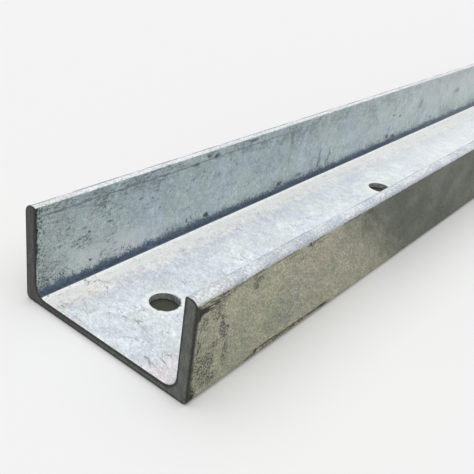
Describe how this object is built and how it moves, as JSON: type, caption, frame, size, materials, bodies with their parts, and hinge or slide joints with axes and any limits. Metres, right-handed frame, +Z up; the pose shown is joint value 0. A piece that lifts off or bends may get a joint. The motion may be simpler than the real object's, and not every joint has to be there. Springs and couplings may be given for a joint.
{
  "type": "steel channel beam",
  "caption": "Hot-dip galvanised steel channel beam lying on its web with both flanges up: rounded roots, heels and toes, sawn ends and a row of bolt holes through the web.",
  "frame": {"origin": "middle of the web's back, on the surface that the bar lies on", "axes": "+X across the web, +Y along the bar towards the far sawn end, +Z up along the flanges"},
  "size_m": [0.15, 2.4, 0.073],
  "materials": {
    "galvanised_steel": "dull hot-dip zinc, mottled and slightly uneven, with darker blue-grey roots"
  },
  "bodies": {
    "root": {"channel": "galvanised_steel"}
  },
  "joints": []
}
